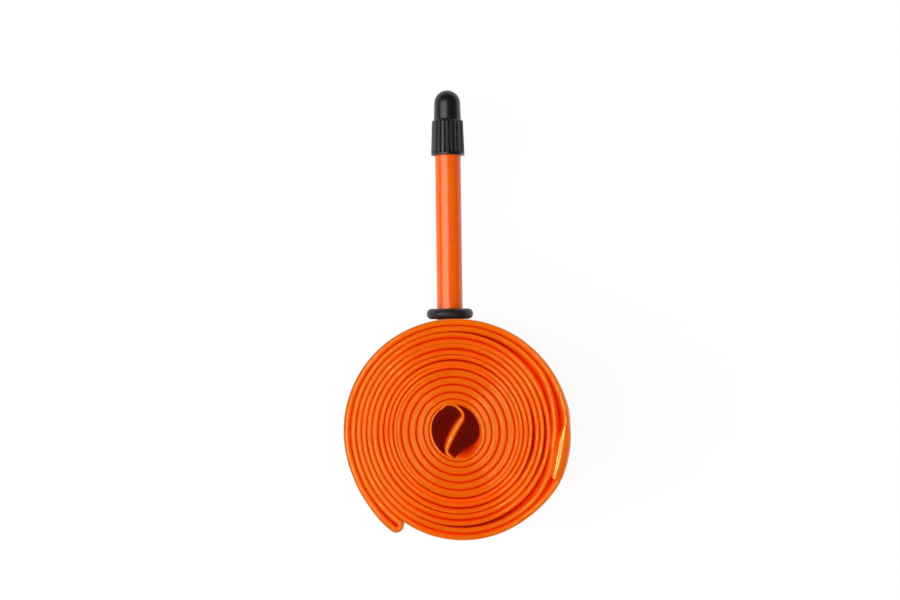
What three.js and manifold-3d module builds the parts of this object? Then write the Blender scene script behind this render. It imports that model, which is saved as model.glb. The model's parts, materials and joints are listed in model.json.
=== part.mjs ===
// A bicycle inner tube of thin thermoplastic film, pressed flat, doubled and rolled up for storage,
// with its plastic valve stem, rim O-ring, removable valve core and moulded dust cap.
// Millimetres. The roll stands on one end, so its axis is +Z, and the valve points along +Y.

import * as THREE from "three";
import { mergeVertices } from "three/addons/utils/BufferGeometryUtils.js";
import Module from "manifold-3d";

const wasm = await Module();
wasm.setup();

// The roll of film
const flatWidth = 44; // width of the tube pressed flat, so the height of the roll
const stepDegrees = 12; // one facet of the roll
const windStart = 213; // direction of the outer end loop, clockwise from +Y
const strandGap = 0.2; // air kept between neighbouring strands
const thickestHalf = 0.59; // half the thickness of the loosest strand
// Turns from the outer end, radius of the middle of the doubled strip, half the spacing of its two strands
const windKnots = [
  [0, 24.53, 0.9], [0.05, 24.1, 0.71], [0.1, 23.72, 0.7], [0.25, 23.44, 0.7], [0.5, 23.39, 0.68],
  [0.75, 23.01, 0.66], [0.95, 21.9, 0.62], [1.1, 21.21, 0.59], [1.25, 20.93, 0.59], [2, 19.21, 0.62],
  [3, 16.53, 0.57], [4, 14.36, 0.47], [5, 12.59, 0.42], [6, 10.93, 0.41], [7, 9.29, 0.41],
  [8, 7.51, 0.32], [9, 6.33, 0.265], [10, 5.35, 0.245],
];
const ovalDepth = 0.29; // the roll is slightly oval, longest along this direction from +Y
const ovalDirection = -26;
const innerOuterEnd = 9.9; // turns where the outer strand leaves the spiral for the middle
const innerInnerEnd = 9.33; // and where the inner strand does
// The inner end loop crosses the hole as an S, from the outer strand back to the inner one
const middlePoints = [
  [-1.42, -5.25], [-2.1, -4.25], [-1.76, -2.8], [-1.08, -1.3], [-0.07, 0.6],
  [0.95, 2.1], [1.52, 3.2], [1.4, 4.2], [0.5, 5.3], [-0.95, 5.97],
];

// The welded overlap on the outermost turn
const overlapStart = 0.63; // turns
const overlapEnd = 0.74;
const overlapThickness = 0.7;

// Valve, measured along +Y from the roll's axis
const valveX = -1;
const valveZ = flatWidth / 2;
const footStart = 0.35; // turns, the stretch of the roll that the valve's foot lies in
const footEnd = 0.455;
const footThickness = 0.5;
const footDiameter = 11;
const stemDiameter = 6;
const stemBore = 4.4;
const stemStart = 23.45;
const stemEnd = 66;
const stemHole = 6.6; // hole through the film for the stem
const fit = 0.3; // clearance between pieces that touch

const ringCentre = 26.1; // rim O-ring
const ringSection = 2.3;
const ringInside = 6.2;

const insertLength = 8; // threaded bush in the stem's mouth
const coreThread = 3; // diameter of the core's part inside the bush
const flatsDiameter = 4.9; // wrench flats of the core
const flatsAcross = 4.2;
const flatsTop = 70;
const pinDiameter = 1.5;
const pinBottom = 50.4;
const pinTop = 76.4;
const nutDiameter = 3.6;
const nutHeight = 2.6;
const sealDiameter = 2.9;

const capRim = 62.8; // dust cap
const capShoulder = 70.9;
const capTop = 78;
const skirtRimDiameter = 7.8;
const skirtTopDiameter = 7.25;
const domeBaseDiameter = 6.3;
const domeTopDiameter = 6;
const skirtBore = 6.5;
const domeBore = 5.3;
const capRibs = 22;
const ribDepth = 0.28;

const filmOrange = { color: 0xee5c05, roughness: 0.28, metalness: 0 };
const stemOrange = { color: 0xe45606, roughness: 0.22, metalness: 0 };
const blackRubber = { color: 0x222224, roughness: 0.55, metalness: 0 };
const blackPlastic = { color: 0x1f2022, roughness: 0.35, metalness: 0 };
const brass = { color: 0xb99a4e, roughness: 0.35, metalness: 1 };
const nickel = { color: 0xb9bbbd, roughness: 0.3, metalness: 1 };

const radians = THREE.MathUtils.degToRad;

function namedMesh(name, geometry, finish) {
  const mesh = new THREE.Mesh(geometry, new THREE.MeshStandardMaterial(finish));
  mesh.name = name;
  return mesh;
}

// A closed geometry as a manifold solid, and back
function toSolid(geometry) {
  const bare = geometry.clone();
  bare.deleteAttribute("normal");
  bare.deleteAttribute("uv");
  const merged = mergeVertices(bare, 1e-4);
  const vertProperties = new Float32Array(merged.attributes.position.array);
  const triVerts = new Uint32Array(merged.index.array);
  return new wasm.Manifold(new wasm.Mesh({ numProp: 3, vertProperties, triVerts }));
}

function toGeometry(solid) {
  const mesh = solid.getMesh();
  const geometry = new THREE.BufferGeometry();
  geometry.setAttribute("position", new THREE.BufferAttribute(mesh.vertProperties, 3));
  geometry.setIndex(new THREE.BufferAttribute(mesh.triVerts, 1));
  geometry.computeVertexNormals();
  return geometry;
}

// Value of one column of windKnots after so many turns, on straight lines between the knots
function windValue(turns, column) {
  const last = windKnots.length - 2;
  const found = windKnots.findIndex((knot, i) => i > last || windKnots[i + 1][0] >= turns);
  const low = windKnots[Math.min(found, last)];
  const high = windKnots[Math.min(found, last) + 1];
  const share = (turns - low[0]) / (high[0] - low[0]);
  return low[column] + share * (high[column] - low[column]);
}

// Point of a strand after so many turns: side 1 is the outer strand, -1 the inner, 0 between them
function windPoint(turns, side, lift = 0) {
  const angle = radians(windStart + 360 * turns);
  const oval = ovalDepth * Math.cos(2 * (angle - radians(ovalDirection)));
  const radius = windValue(turns, 1) + oval + side * windValue(turns, 2) + lift;
  return new THREE.Vector2(radius * Math.sin(angle), radius * Math.cos(angle));
}

function halfThickness(turns) {
  return Math.min(windValue(turns, 2) - strandGap / 2, thickestHalf);
}

// One strand's points between two places on the spiral, in whole facets
function strandPoints(start, end, side) {
  const count = Math.round((Math.abs(end - start) * 360) / stepDegrees);
  return Array.from({ length: count + 1 }, (_, i) => {
    const turns = start + ((end - start) * i) / count;
    return { point: windPoint(turns, side), half: halfThickness(turns) };
  });
}

// The closed route of the pressed tube: in along the outer strand, across the middle, out along the inner
function tubeRoute() {
  const outer = strandPoints(0, innerOuterEnd, 1);
  const inner = strandPoints(innerInnerEnd, 0, -1);
  const corners = middlePoints.map(([x, y]) => new THREE.Vector2(x, y));
  const ends = [outer.at(-2).point, outer.at(-1).point, ...corners, inner[0].point, inner[1].point];
  const curve = new THREE.SplineCurve(ends);
  const spans = ends.length - 1;
  const pieces = 2 * (spans - 2);
  const half = outer.at(-1).half;
  const middle = Array.from({ length: pieces - 1 }, (_, i) => ({
    point: curve.getPoint((1 + ((spans - 2) * (i + 1)) / pieces) / spans),
    half,
  }));
  const centre = windPoint(0, 0);
  const radius = windValue(0, 2);
  const turnCount = 5;
  const loop = Array.from({ length: turnCount }, (_, i) => {
    const angle = -radians(windStart) - Math.PI / 2 - (Math.PI * (i + 1)) / (turnCount + 1);
    const x = centre.x + radius * Math.cos(angle);
    const y = centre.y + radius * Math.sin(angle);
    return { point: new THREE.Vector2(x, y), half: inner.at(-1).half };
  });
  return [...outer, ...middle, ...inner, ...loop];
}

// The route's outline shifted sideways by the strand's own half thickness
function shiftedRoute(route, side) {
  const count = route.length;
  return route.map(({ point, half }, i) => {
    const before = route[(i + count - 1) % count].point;
    const after = route[(i + 1) % count].point;
    const along = after.clone().sub(before).normalize();
    return new THREE.Vector2(point.x - side * half * along.y, point.y + side * half * along.x);
  });
}

function cylinderAlongY(diameter, start, end, sides) {
  const geometry = new THREE.CylinderGeometry(diameter / 2, diameter / 2, end - start, sides);
  return geometry.translate(valveX, (start + end) / 2, valveZ);
}

// An endless strip that stands between two closed outlines with as many points each
function endlessStrip(left, right, height) {
  const corners = left.flatMap((from, i) => {
    const to = right[i];
    return [from.x, from.y, 0, to.x, to.y, 0, to.x, to.y, height, from.x, from.y, height];
  });
  const faces = left.flatMap((_, i) => {
    const next = (i + 1) % left.length;
    return [0, 1, 2, 3].flatMap((corner) => {
      const other = (corner + 1) % 4;
      const [a, b, c, d] = [4 * i + corner, 4 * i + other, 4 * next + other, 4 * next + corner];
      return [a, c, b, a, d, c];
    });
  });
  const geometry = new THREE.BufferGeometry();
  geometry.setAttribute("position", new THREE.Float32BufferAttribute(corners, 3));
  geometry.setIndex(faces);
  return geometry;
}

// The round plate of the valve's foot, bent to the roll, and grown all round by a margin
function footPlate(margin) {
  const half = footThickness / 2 + margin;
  const count = 4;
  const turns = Array.from({ length: count + 1 }, (_, i) => {
    return footStart + ((footEnd - footStart) * i) / count;
  });
  const near = turns.map((at) => windPoint(at, 0, -half));
  const far = turns.map((at) => windPoint(at, 0, half));
  const bent = new THREE.ExtrudeGeometry(new THREE.Shape([...near, ...far.reverse()]), {
    depth: flatWidth,
    bevelEnabled: false,
  });
  const round = cylinderAlongY(footDiameter + 2 * margin, stemStart - 4, ringCentre, 24);
  return toSolid(bent).intersect(toSolid(round));
}

function valveFoot() {
  const opening = cylinderAlongY(stemHole, stemStart - 4, ringCentre, 24);
  return namedMesh("valve_foot", toGeometry(footPlate(0).subtract(toSolid(opening))), filmOrange);
}

// The flat tube, with a hole in its outermost strand for the stem and a pocket round the valve's foot
function tubeBody() {
  const route = tubeRoute();
  const strip = toSolid(endlessStrip(shiftedRoute(route, 1), shiftedRoute(route, -1), flatWidth));
  const opening = toSolid(cylinderAlongY(stemHole, stemStart - fit, ringCentre, 24));
  const body = strip.subtract(opening).subtract(footPlate(fit));
  return namedMesh("tube_body", toGeometry(body), filmOrange);
}

// A curved plate that follows the outer strand's outside
function spliceOverlap() {
  const count = 4;
  const turns = Array.from({ length: count + 1 }, (_, i) => {
    return overlapStart + ((overlapEnd - overlapStart) * i) / count;
  });
  const lift = (at) => halfThickness(at) + fit;
  const near = turns.map((at) => windPoint(at, 1, lift(at)));
  const far = turns.map((at) => windPoint(at, 1, lift(at) + overlapThickness));
  const shape = new THREE.Shape([...near, ...far.reverse()]);
  const plate = new THREE.ExtrudeGeometry(shape, { depth: flatWidth, bevelEnabled: false });
  return namedMesh("splice_overlap", plate, filmOrange);
}

// A solid of revolution about the valve's axis, from points of radius and height along +Y
function turned(name, profile, finish, sides) {
  const points = profile.map(([radius, height]) => new THREE.Vector2(radius, height));
  const mesh = namedMesh(name, new THREE.LatheGeometry(points, sides), finish);
  mesh.position.set(valveX, 0, valveZ);
  return mesh;
}

// A closed tube profile between two radii and two heights
function sleeve(inside, outside, low, high) {
  return [[inside, low], [outside, low], [outside, high], [inside, high], [inside, low]];
}

function valveStem() {
  const radius = stemDiameter / 2;
  const bore = stemBore / 2;
  const profile = [
    [bore, stemStart], [radius, stemStart], [radius, stemEnd - 0.4], [radius - 0.4, stemEnd],
    [bore, stemEnd], [bore, stemStart],
  ];
  return turned("valve_stem", profile, stemOrange, 32);
}

function threadInsert() {
  const outside = stemBore / 2 - fit / 2;
  const profile = sleeve(coreThread / 2 + fit / 2, outside, stemEnd - insertLength, stemEnd);
  return turned("stem_thread_insert", profile, brass, 24);
}

function rimRing() {
  const sides = 14;
  const radius = ringSection / 2;
  const profile = Array.from({ length: sides + 1 }, (_, i) => {
    const angle = (-2 * Math.PI * (i % sides)) / sides;
    const middle = ringInside / 2 + radius;
    return [middle - radius * Math.cos(angle), ringCentre + radius * Math.sin(angle)];
  });
  return turned("rim_o_ring", profile, blackRubber, 36);
}

// The barrel runs down the bush and carries the wrench flats above it
function coreBarrel() {
  const bore = pinDiameter / 2 + 0.15;
  const shoulder = stemEnd + 1;
  const profile = [
    [bore, stemEnd - insertLength], [coreThread / 2, stemEnd - insertLength], [coreThread / 2, shoulder],
    [flatsDiameter / 2, shoulder], [flatsDiameter / 2, flatsTop - 0.8], [1.9, flatsTop - 0.4],
    [1.9, flatsTop], [bore, flatsTop], [bore, stemEnd - insertLength],
  ];
  const points = profile.map(([radius, height]) => new THREE.Vector2(radius, height));
  const blank = toSolid(new THREE.LatheGeometry(points, 24));
  const cutter = (side) => {
    const block = new THREE.BoxGeometry(2, flatsTop, 8);
    return toSolid(block.translate(side * (flatsAcross / 2 + 1), shoulder + flatsTop / 2 - 0.2, 0));
  };
  const cut = blank.subtract(cutter(1)).subtract(cutter(-1));
  const mesh = namedMesh("core_barrel", toGeometry(cut), brass);
  mesh.position.set(valveX, 0, valveZ);
  return mesh;
}

function coreGasket() {
  const profile = sleeve(coreThread / 2 + fit / 2, 2.1, stemEnd + 0.15, stemEnd + 0.85);
  return turned("core_gasket", profile, blackRubber, 24);
}

function corePin() {
  const radius = pinDiameter / 2;
  const profile = [
    [0, pinBottom], [radius, pinBottom], [radius, pinTop - 0.4], [radius - 0.3, pinTop], [0, pinTop],
  ];
  return turned("core_pin", profile, brass, 16);
}

function pinSeal() {
  const low = stemEnd - insertLength - 3.2;
  const profile = sleeve(pinDiameter / 2 + fit / 2, sealDiameter / 2, low, low + 2.2);
  return turned("pin_seal", profile, blackRubber, 20);
}

function lockNut() {
  const low = flatsTop + 0.3;
  const inside = pinDiameter / 2 + 0.15;
  const outside = nutDiameter / 2;
  const profile = [
    [inside, low], [outside - 0.3, low], [outside, low + 0.3], [outside, low + nutHeight - 0.3],
    [outside - 0.3, low + nutHeight], [inside, low + nutHeight], [inside, low],
  ];
  return turned("lock_nut", profile, nickel, 20);
}

// Four steps round each rib: two on its crest, two in the valley
function ribHeight(angle) {
  const step = Math.round((angle / (2 * Math.PI)) * capRibs * 4);
  return ((step % 4) + 4) % 4 < 2 ? 0 : ribDepth;
}

function dustCap() {
  const domeRadius = 2.4;
  const wall = 0.5;
  const ribLow = capRim + 0.7;
  const ribHigh = capShoulder - 0.5;
  const skirtSlope = (skirtRimDiameter - skirtTopDiameter) / 2 / (capShoulder - capRim);
  const skirtRadius = (height) => skirtRimDiameter / 2 - skirtSlope * (height - capRim);
  const domeSteps = 4;
  const dome = Array.from({ length: domeSteps + 1 }, (_, i) => {
    const angle = (Math.PI / 2) * (i / domeSteps);
    const inset = domeTopDiameter / 2 - domeRadius;
    return [inset + domeRadius * Math.cos(angle), capTop - domeRadius + domeRadius * Math.sin(angle)];
  });
  const profile = [
    [0, capTop - wall - 0.4], [1.6, capTop - wall - 0.5], [domeBore / 2, capTop - 2.6],
    [domeBore / 2, flatsTop + 0.5], [skirtBore / 2, flatsTop], [skirtBore / 2, capRim],
    [skirtRadius(capRim) - ribDepth, capRim], [skirtRadius(ribLow), ribLow],
    [skirtRadius(ribHigh), ribHigh], [skirtRadius(capShoulder) - ribDepth, capShoulder],
    [domeBaseDiameter / 2, capShoulder + 0.35], ...dome, [0, capTop],
  ];
  const points = profile.map(([radius, height]) => new THREE.Vector2(radius, height));
  const geometry = new THREE.LatheGeometry(points, capRibs * 4);
  const position = geometry.attributes.position;
  for (let i = 0; i < position.count; i += 1) {
    const height = position.getY(i);
    const radius = Math.hypot(position.getX(i), position.getZ(i));
    const ribbed = height > ribLow - 0.01 && height < ribHigh + 0.01 && radius > skirtBore / 2 + 0.1;
    if (ribbed) {
      const angle = Math.atan2(position.getX(i), position.getZ(i));
      const scale = (radius - ribHeight(angle)) / radius;
      position.setX(i, position.getX(i) * scale);
      position.setZ(i, position.getZ(i) * scale);
    }
  }
  const mesh = namedMesh("dust_cap", geometry, blackPlastic);
  mesh.position.set(valveX, 0, valveZ);
  return mesh;
}

const innerTube = new THREE.Group();
innerTube.add(tubeBody(), spliceOverlap(), valveFoot(), valveStem(), threadInsert(), rimRing());
innerTube.add(coreBarrel(), coreGasket(), corePin(), pinSeal(), lockNut(), dustCap());

// The origin goes to the middle of the whole object's footprint, on the surface that the roll stands on
const extent = new THREE.Box3().setFromObject(innerTube);
const footprint = extent.getCenter(new THREE.Vector3());
innerTube.position.set(-footprint.x, -footprint.y, -extent.min.z);

export default innerTube;
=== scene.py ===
# A rolled-up bicycle inner tube of thin film: the roll, its welded splice, the valve stem with its
# O-ring, the valve core inside it and the ribbed dust cap. Lengths are in millimetres until a mesh is made.
import json
import math
import bmesh
import bpy
import numpy as np
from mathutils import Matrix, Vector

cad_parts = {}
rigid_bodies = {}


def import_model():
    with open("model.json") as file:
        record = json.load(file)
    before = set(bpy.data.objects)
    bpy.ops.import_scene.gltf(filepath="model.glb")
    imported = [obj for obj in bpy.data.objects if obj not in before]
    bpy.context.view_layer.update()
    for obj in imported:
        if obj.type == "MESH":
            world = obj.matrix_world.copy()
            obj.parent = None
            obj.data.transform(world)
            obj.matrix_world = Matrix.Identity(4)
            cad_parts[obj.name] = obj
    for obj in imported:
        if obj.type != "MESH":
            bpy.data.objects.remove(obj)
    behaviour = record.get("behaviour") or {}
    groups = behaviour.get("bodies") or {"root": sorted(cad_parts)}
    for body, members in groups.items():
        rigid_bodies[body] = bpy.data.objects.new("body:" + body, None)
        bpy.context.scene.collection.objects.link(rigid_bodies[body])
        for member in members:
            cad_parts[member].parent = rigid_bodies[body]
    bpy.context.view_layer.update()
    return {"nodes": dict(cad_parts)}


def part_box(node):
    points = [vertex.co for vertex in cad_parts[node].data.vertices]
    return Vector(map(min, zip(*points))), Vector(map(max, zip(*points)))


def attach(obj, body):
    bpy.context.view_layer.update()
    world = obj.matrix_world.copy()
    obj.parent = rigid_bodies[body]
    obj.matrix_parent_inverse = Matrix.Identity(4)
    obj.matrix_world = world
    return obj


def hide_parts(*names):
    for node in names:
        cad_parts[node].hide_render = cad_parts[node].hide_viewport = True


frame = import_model()
print("frame loaded:", len(frame["nodes"]), "nodes")

mm = 0.001  # one millimetre in metres
turn = 2 * math.pi
mergeDistance = 1e-7  # metres within which points that meet at a pole are merged
nearAxis = 1e-6  # millimetres within which a point counts as on the axis


# Lowest and highest corner of a CAD node in millimetres
def cornersOf(node):
    low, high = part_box(node)
    return np.array(low) / mm, np.array(high) / mm


# Where a CAD node on the valve's axis begins and ends along it, and its radius
def spanOf(node):
    low, high = cornersOf(node)
    return low[1], high[1], (high[0] - low[0]) / 2


stemLow, stemHigh = cornersOf("valve_stem")
valve = {
    "x": (stemLow[0] + stemHigh[0]) / 2,
    "z": (stemLow[2] + stemHigh[2]) / 2,
    "foot": stemLow[1],
    "mouth": stemHigh[1],
    "radius": (stemHigh[0] - stemLow[0]) / 2,
}
rollCentre = {
    "x": valve["x"] + 1,  # the valve leaves the roll this far to one side of its axis
    "y": valve["foot"] - 23.45,  # and the stem's foot lies this far out
    "top": cornersOf("tube_body")[1][2],
}


# Rises smoothly from 0 at low to 1 at high
def smooth(value, low, high):
    share = np.clip((value - low) / (high - low), 0, 1)
    return share * share * (3 - 2 * share)


# Rises smoothly from 0 to 1 between the first two places, and falls back between the last two
def plateau(value, riseFrom, riseTo, fallFrom, fallTo):
    return smooth(value, riseFrom, riseTo) * (1 - smooth(value, fallFrom, fallTo))


# A bell of height 1 round a centre
def bell(value, centre, width):
    return np.exp(-(((value - centre) / width) ** 2))


# Puts a grid of points into a mesh, one quad per cell. The grid wraps round in the directions that are
# closed, points that meet at a pole are merged, and the faces are turned outwards by the sign of the volume.
def gridMesh(name, points, closed=(True, True), uv=None, tone=None):
    rows, columns = points.shape[:2]
    rowAt = np.arange(rows if closed[0] else rows - 1)
    columnAt = np.arange(columns if closed[1] else columns - 1)
    row, column = (grid.ravel() for grid in np.meshgrid(rowAt, columnAt, indexing="ij"))
    nextRow, nextColumn = (row + 1) % rows, (column + 1) % columns
    corners = [(row, column), (row, nextColumn), (nextRow, nextColumn), (nextRow, column)]
    faces = np.stack([r * columns + c for r, c in corners], axis=1)
    flat = points.reshape(-1, 3) * mm
    a, b, c, d = (flat[faces[:, i]] for i in range(4))
    volume = np.sum(np.cross(b - a, c - a) * a) + np.sum(np.cross(c - a, d - a) * a)
    flipped = volume < 0
    if flipped:
        faces = faces[:, ::-1]
    mesh = bpy.data.meshes.new(name)
    mesh.from_pydata(flat.tolist(), [], faces.tolist())
    if uv is not None:
        # u and v carry on past the seam, so that nothing is squeezed into its last cell
        ends = [(row, column), (row, column + 1), (row + 1, column + 1), (row + 1, column)]
        if flipped:
            ends = ends[::-1]
        layer = np.stack([np.stack([uv[0][r], uv[1][c]], axis=1) for r, c in ends], axis=1)
        mesh.uv_layers.new(name="along").data.foreach_set("uv", layer.astype(np.float32).ravel())
    # Painted shade of each point, kept as an attribute that the film's colour reads
    if tone is not None:
        shades = mesh.attributes.new("tone", "FLOAT", "POINT")
        shades.data.foreach_set("value", tone.astype(np.float32).ravel())
    if not all(closed):
        work = bmesh.new()
        work.from_mesh(mesh)
        bmesh.ops.remove_doubles(work, verts=work.verts, dist=mergeDistance)
        work.to_mesh(mesh)
        work.free()
    mesh.shade_smooth()
    made = bpy.data.objects.new(name, mesh)
    bpy.context.scene.collection.objects.link(made)
    return made


# Gives a finished piece its body and its material, and hides the CAD nodes it stands for
def finishPiece(piece, body, nodes, material):
    piece.data.materials.clear()
    piece.data.materials.append(material)
    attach(piece, body)
    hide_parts(*nodes)
    return piece


# Each corner of a profile is replaced by a parabola between two points a short way along its two edges,
# at most nearly half of each edge
def rounded(profile, reach=0.15, steps=4, closed=True, most=0.45):
    corners = np.array(profile, float)
    before = np.roll(corners, 1, axis=0)
    after = np.roll(corners, -1, axis=0)
    lengthBefore = np.linalg.norm(before - corners, axis=1, keepdims=True)
    lengthAfter = np.linalg.norm(after - corners, axis=1, keepdims=True)
    start = corners + (before - corners) * np.minimum(reach / lengthBefore, most)
    end = corners + (after - corners) * np.minimum(reach / lengthAfter, most)
    at = np.linspace(0, 1, steps + 1)[None, :, None]
    arcs = (1 - at) ** 2 * start[:, None] + 2 * at * (1 - at) * corners[:, None] + at**2 * end[:, None]
    if closed:
        return arcs.reshape(-1, 2)
    inner = arcs[1:-1].reshape(-1, 2)
    return np.vstack([corners[:1], inner, corners[-1:]])


# Adds points along the long edges of a profile, so that a relief can follow it
def divided(profile, step, closed=True):
    ends = np.vstack([profile, profile[:1]]) if closed else profile
    lengths = np.linalg.norm(np.diff(ends, axis=0), axis=1)
    counts = np.maximum(1, np.ceil(lengths / step)).astype(int)
    pieces = [
        ends[i] + (ends[i + 1] - ends[i]) * np.arange(n)[:, None] / n for i, n in enumerate(counts)
    ]
    if not closed:
        pieces.append(ends[-1:])
    return np.vstack(pieces)


# A surface of revolution about the valve's axis: the profile holds radius and height, and relief gives
# the change of radius for each height and angle. Angle 0 faces up.
def turnedPiece(name, profile, sides, relief=None, closed=True):
    radius = profile[:, :1]
    height = profile[:, 1:] + np.zeros((1, sides))
    angle = np.arange(sides)[None, :] * turn / sides
    change = 0 if relief is None else relief(radius, height, angle)
    radius = np.maximum(radius + change * (radius > nearAxis), 0)
    points = np.stack(
        [valve["x"] + radius * np.sin(angle), height, valve["z"] + radius * np.cos(angle)], axis=2
    )
    around = np.arange(sides + 1) / sides
    along = np.arange(len(profile) + 1) / len(profile)
    return gridMesh(name, points, (closed, True), uv=(along, around))


# A screw thread: the radius dips between the crests of a helix, from one height to another
def threadRelief(height, angle, low, high, pitch, depth):
    phase = (height / pitch - angle / turn) % 1
    within = plateau(height, low, low + pitch, high - pitch, high)
    return -depth * np.abs(2 * phase - 1) * within


# A socket that can be added, multiplied and so on: each operator makes one Math node
class Wire:
    def __init__(self, finish, socket):
        self.finish = finish
        self.socket = socket

    def __add__(self, other):
        return self.finish.maths("ADD", self, other)

    def __sub__(self, other):
        return self.finish.maths("SUBTRACT", self, other)

    def __rsub__(self, other):
        return self.finish.maths("SUBTRACT", other, self)

    def __mul__(self, other):
        return self.finish.maths("MULTIPLY", self, other)

    __radd__ = __add__
    __rmul__ = __mul__

    def held(self):
        return self.finish.node("ShaderNodeClamp", {}, {"Value": self})


# One material: its nodes all come from node()
class Finish:
    def __init__(self, name):
        self.material = bpy.data.materials.new(name)
        self.material.use_nodes = True
        self.tree = self.material.node_tree
        self.tree.nodes.clear()

    def node(self, kind, settings, sockets, give=0):
        made = self.tree.nodes.new(kind)
        for key, value in settings.items():
            if key == "stops":
                stops = made.color_ramp.elements
                while len(stops) < len(value):
                    stops.new(1)
                for stop, (place, colour) in zip(stops, value):
                    stop.position = place
                    stop.color = (*colour, 1)
            else:
                setattr(made, key, value)
        for key, value in sockets.items():
            if isinstance(value, Wire):
                self.tree.links.new(value.socket, made.inputs[key])
            else:
                made.inputs[key].default_value = value
        return Wire(self, made.outputs[give]) if made.outputs else None

    def maths(self, operation, a, b):
        return self.node("ShaderNodeMath", {"operation": operation}, {0: a, 1: b})

    # Place in the object's own space, stretched by a factor each way
    def place(self, stretch=(1, 1, 1)):
        raw = self.node("ShaderNodeTexCoord", {}, {}, give="Object")
        return self.node("ShaderNodeMapping", {}, {"Vector": raw, "Scale": stretch})

    # Place on the piece's own UV map, in metres along and shares across
    def along(self, stretch=(1, 1, 1)):
        raw = self.node("ShaderNodeUVMap", {"uv_map": "along"}, {})
        return self.node("ShaderNodeMapping", {}, {"Vector": raw, "Scale": stretch})

    # Smooth noise, 0 to 1, with a grain of about one over scale metres
    def noise(self, where, scale, detail=3.0, roughness=0.5):
        sockets = {"Vector": where, "Scale": scale, "Detail": detail, "Roughness": roughness}
        return self.node("ShaderNodeTexNoise", {}, sockets)

    # From colour a at share 0 to colour b at share 1
    def mixed(self, share, a, b):
        sockets = {0: share, 6: (*a, 1), 7: (*b, 1)}
        return self.node("ShaderNodeMix", {"data_type": "RGBA"}, sockets, give=2)

    def ramp(self, share, stops):
        return self.node("ShaderNodeValToRGB", {"stops": stops}, {"Fac": share})

    def bump(self, height, strength, distance):
        sockets = {"Height": height, "Strength": strength, "Distance": distance}
        return self.node("ShaderNodeBump", {}, sockets)

    def shaded(self, **sockets):
        names = {key.replace("_", " "): value for key, value in sockets.items()}
        surface = self.node("ShaderNodeBsdfPrincipled", {}, names)
        self.node("ShaderNodeOutputMaterial", {}, {"Surface": surface})
        return self.material


# A screen colour from 0 to 255 as the linear colour that shaders use
def screenColour(red, green, blue):
    share = np.array([red, green, blue]) / 255
    return tuple(np.where(share > 0.04045, ((share + 0.055) / 1.055) ** 2.4, share / 12.92).tolist())


# Film colours from the fold down: crest to pit is painted shade, darker and redder with depth between the
# turns and in the hole
filmLook = {
    "crest": screenColour(247, 112, 4),
    "flank": screenColour(243, 98, 3),
    "crevice": screenColour(230, 62, 1),
    "deep": screenColour(172, 22, 3),
    "pit": screenColour(62, 7, 5),
    "roughness": 0.078,
    "shine": (1, 0.98, 0.42, 1),  # tint of the reflections
    "streaks": (900, 6, 1),  # per metre along the strip, and round its section
    "scatter": (0.0024, 0.0005, 0.0001),  # how far red, green and blue light spread in it, in metres
    "weldScatter": (0.0016, 0.0004, 0.0001),
    "weldRoughness": 0.15,
    # Painted glow: emission that stands in for light that has come through the film from above and shines red
    # out of the gaps
    "paintedGlow": [
        (0.0, (0.0, 0.0, 0.0)), (0.12, (0.01, 0.0, 0.0)), (0.28, (0.14, 0.004, 0.0)),
        (0.48, (0.13, 0.003, 0.0)), (0.62, (0.085, 0.0026, 0.0012)), (0.84, (0.08, 0.0026, 0.0015)),
    ],
}


# Glossy translucent film: orange at the folds, with painted shade that makes it redder and darker with depth
# between the turns
def filmFinish():
    look = filmLook
    finish = Finish("filmOrange")
    # The painted depth shade stored on the mesh, with a little random tone from the noise, picks the colour
    depth = finish.node("ShaderNodeAttribute", {"attribute_name": "tone"}, {}, give="Fac")
    slow = finish.noise(finish.place(), 70.0, 2.0)
    streaks = finish.noise(finish.along(look["streaks"]), 1.0, 4.0)
    share = (depth + 0.16 * (slow - 0.5) + 0.05 * (streaks - 0.5)).held()
    stops = [
        (0.0, look["crest"]), (0.14, look["flank"]), (0.3, look["crevice"]),
        (0.5, look["deep"]), (0.62, look["pit"]),
    ]
    colour = finish.ramp(share, stops)
    grain = finish.noise(finish.place(), 2600.0, 3.0)
    roughness = (look["roughness"] + 0.07 * (slow - 0.4) + 0.03 * (grain - 0.5)).held()
    relief = 0.7 * streaks + 0.3 * grain
    return finish.shaded(
        Base_Color=colour, Roughness=roughness, Normal=finish.bump(relief, 0.07, 0.00012),
        Subsurface_Weight=0.2, Subsurface_Radius=look["scatter"], Subsurface_Scale=1.0,
        Specular_IOR_Level=0.5, Specular_Tint=look["shine"],
        # The film glows by its painted depth shade, as painted light, though it is no lamp
        Emission_Color=finish.ramp(share, look["paintedGlow"]), Emission_Strength=1.0,
    )


# The valve foot and the splice share the film's colour without its depth shading
def weldFinish():
    look = filmLook
    finish = Finish("filmWeld")
    slow = finish.noise(finish.place(), 160.0, 3.0)
    grain = finish.noise(finish.place((1, 1, 0.3)), 1500.0, 4.0)
    colour = finish.mixed((1.6 * (slow - 0.3)).held(), look["crest"], look["flank"])
    roughness = (look["weldRoughness"] + 0.12 * (grain - 0.4)).held()
    return finish.shaded(
        Base_Color=colour, Roughness=roughness, Normal=finish.bump(grain + slow, 0.12, 0.00015),
        Subsurface_Weight=0.12, Subsurface_Radius=look["weldScatter"], Subsurface_Scale=1.0,
        Specular_IOR_Level=0.5, Specular_Tint=look["shine"],
    )


stemLook = {
    "light": screenColour(243, 100, 6),
    "red": screenColour(238, 86, 4),
    "roughness": 0.17,
    "shine": (1, 0.9, 0.68, 1),  # tint of the reflections
    "scatter": (0.0016, 0.0004, 0.0001),  # how far red, green and blue light spread in it, in metres
}


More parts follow.
